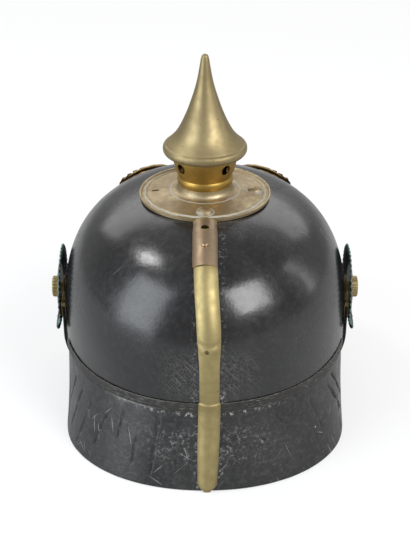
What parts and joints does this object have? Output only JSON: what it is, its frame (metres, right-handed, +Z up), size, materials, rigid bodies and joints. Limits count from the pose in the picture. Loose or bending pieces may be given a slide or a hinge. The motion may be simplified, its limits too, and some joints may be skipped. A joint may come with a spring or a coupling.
{
  "type": "pickelhaube",
  "caption": "Spiked leather helmet with brass fittings: twist-off spike, rear spine with a vent slider, front plate, cockades, chinstrap and leather liner.",
  "frame": {"origin": "on the table plane under the spike's axis, in the middle of the head opening", "axes": "+Z up along the spike, -Y towards the front visor, +X towards the wearer's left"},
  "size_m": [0.203, 0.2706, 0.2382],
  "materials": {
    "shell_leather": "black lacquer, glossy, fine crazing",
    "seam_leather": "black leather, stitched, worn at the edges",
    "liner_leather": "thin brown liner leather, matt",
    "strap_leather": "dark strap leather, worn",
    "cord": "twisted cotton cord",
    "spun_brass": "satin, spun",
    "plate_brass": "dull, pinkish brown",
    "fitting_brass": "satin, worn",
    "cockade_metal": "painted, verdigris at the rim",
    "iron": "dull"
  },
  "bodies": {
    "helmet": {"base_plate": "plate_brass", "base_plate_studs": "plate_brass", "bayonet_ring": "spun_brass", "drawstring": "cord", "front_plate": "plate_brass", "front_plate_loops": "plate_brass", "front_plate_pins": "plate_brass", "front_seam_band": "seam_leather", "front_visor": "shell_leather", "front_visor_trim": "fitting_brass", "left_cockade": "cockade_metal", "left_post_nut": "iron", "left_post_washer": "liner_leather", "left_rosette": "fitting_brass", "left_side_post": "fitting_brass", "liner": "liner_leather", "neck": "spun_brass", "neck_ring": "spun_brass", "rear_seam_band": "seam_leather", "rear_spine": "fitting_brass", "rear_visor": "shell_leather", "right_cockade": "cockade_metal", "right_post_nut": "iron", "right_post_washer": "liner_leather", "right_rosette": "fitting_brass", "right_side_post": "fitting_brass", "shell": "shell_leather", "spine_rivet": "fitting_brass", "spine_rivet_washer": "iron", "stud_washers": "liner_leather"},
    "spike_body": {"spike": "spun_brass"},
    "slider_body": {"spine_slider": "fitting_brass", "slider_stud": "fitting_brass"},
    "left_knob_body": {"left_knob": "fitting_brass"},
    "right_knob_body": {"right_knob": "fitting_brass"},
    "chinstrap_body": {"chinstrap": "strap_leather", "left_strap_lug": "fitting_brass", "right_strap_lug": "fitting_brass", "strap_rivets": "fitting_brass"},
    "left_slide_body": {"left_strap_slide": "fitting_brass"},
    "right_slide_body": {"right_strap_slide": "fitting_brass"}
  },
  "joints": [
    {"name": "spike_twist", "type": "hinge", "parent": "helmet", "child": "spike_body", "pos_m": [0, 0, 0.16], "axis": [0, 0, 1], "range_deg": [0, 35]},
    {"name": "vent_slider", "type": "hinge", "parent": "helmet", "child": "slider_body", "pos_m": [0, 0.03, 0.0504], "axis": [-1, 0, 0], "range_deg": [-1.4, 2]},
    {"name": "left_knob_turn", "type": "hinge", "parent": "helmet", "child": "left_knob_body", "pos_m": [0.0995, 0, 0.077], "axis": [1, 0, 0], "continuous": true},
    {"name": "right_knob_turn", "type": "hinge", "parent": "helmet", "child": "right_knob_body", "pos_m": [-0.0995, 0, 0.077], "axis": [-1, 0, 0], "continuous": true},
    {"name": "chinstrap_swing", "type": "hinge", "parent": "helmet", "child": "chinstrap_body", "pos_m": [0, 0, 0.077], "axis": [1, 0, 0], "range_deg": [-20, 20]},
    {"name": "left_slide_travel", "type": "slide", "parent": "chinstrap_body", "child": "left_slide_body", "axis": [1, 0, 0], "range_m": [-0.018, 0.014]},
    {"name": "right_slide_travel", "type": "slide", "parent": "chinstrap_body", "child": "right_slide_body", "axis": [1, 0, 0], "range_m": [-0.014, 0.018]}
  ]
}
